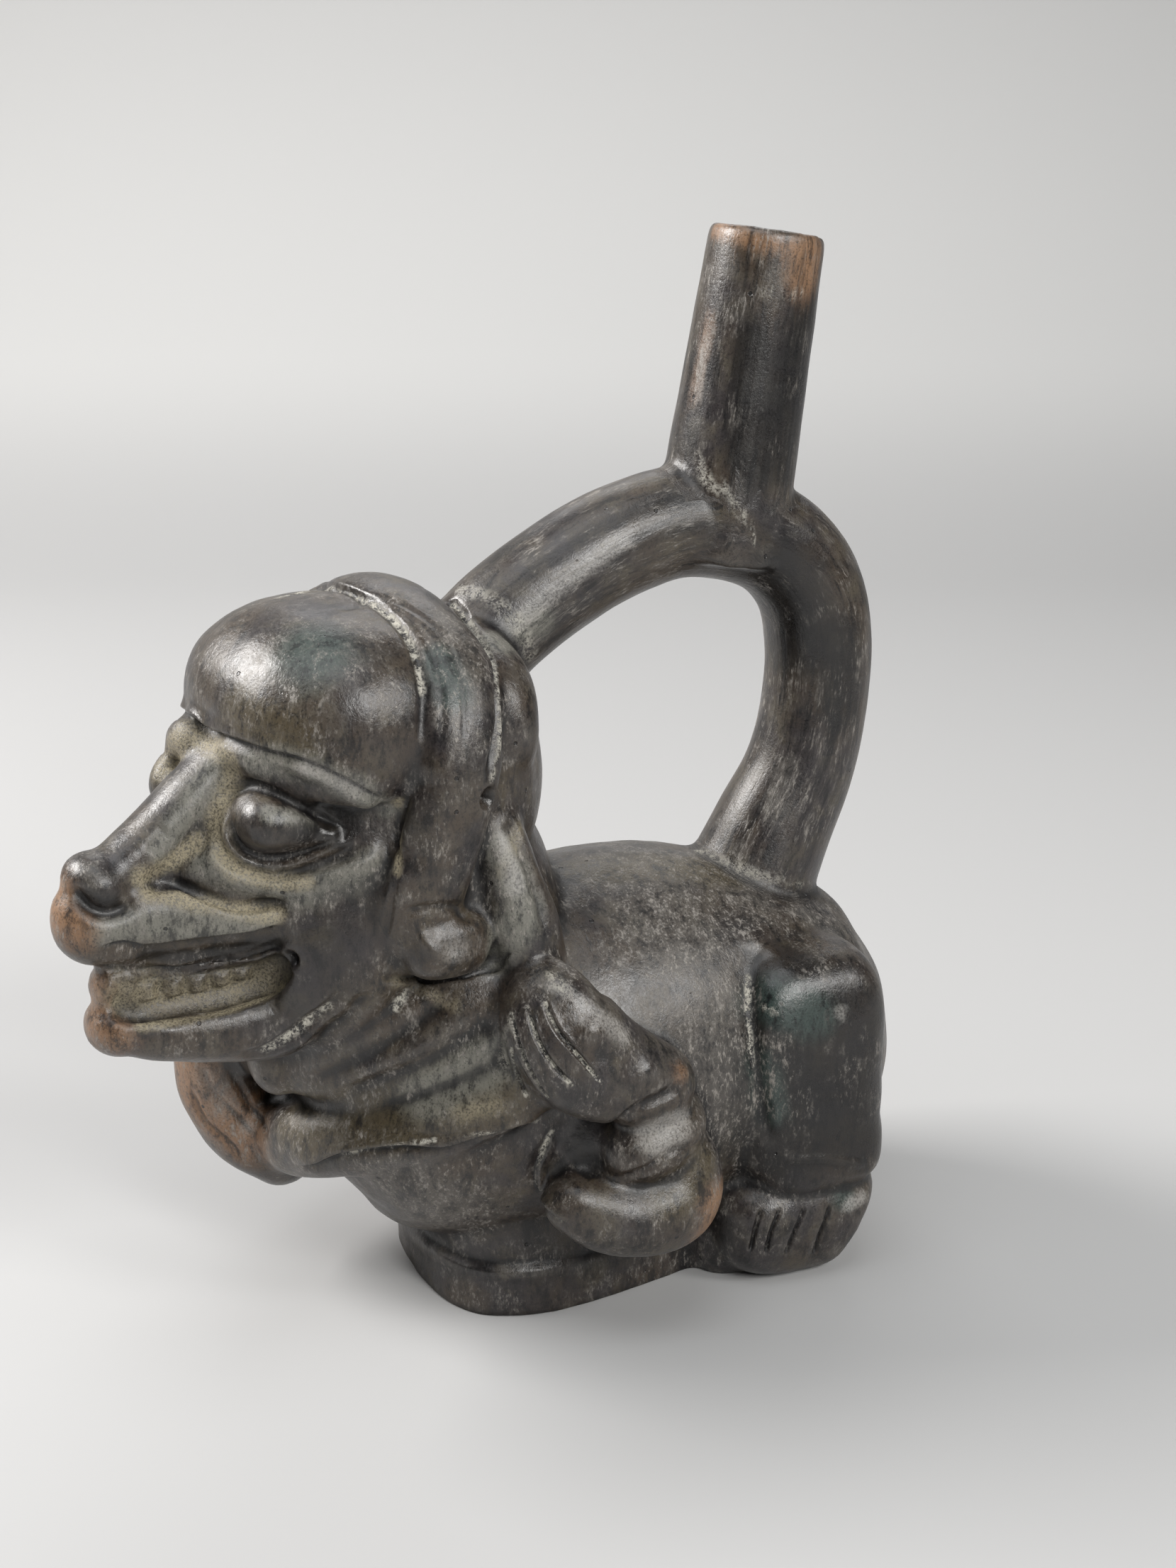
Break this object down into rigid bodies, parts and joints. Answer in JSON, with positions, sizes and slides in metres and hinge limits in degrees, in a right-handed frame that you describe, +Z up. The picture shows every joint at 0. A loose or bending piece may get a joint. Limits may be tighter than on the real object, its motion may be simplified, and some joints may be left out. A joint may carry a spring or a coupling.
{
  "type": "stirrup spout vessel",
  "caption": "Burnished blackware bottle in the form of a crouching figure, with a stirrup handle and a leaning spout.",
  "frame": {"origin": "on the flat underside, in the plane of the stirrup handle, below the foot of its arch", "axes": "+Z up, the figure faces -Y, its left side is +X"},
  "size_m": [0.1043, 0.1951, 0.2332],
  "materials": {
    "blackware": "burnished satin"
  },
  "bodies": {
    "root": {"vessel": "blackware"}
  },
  "joints": []
}
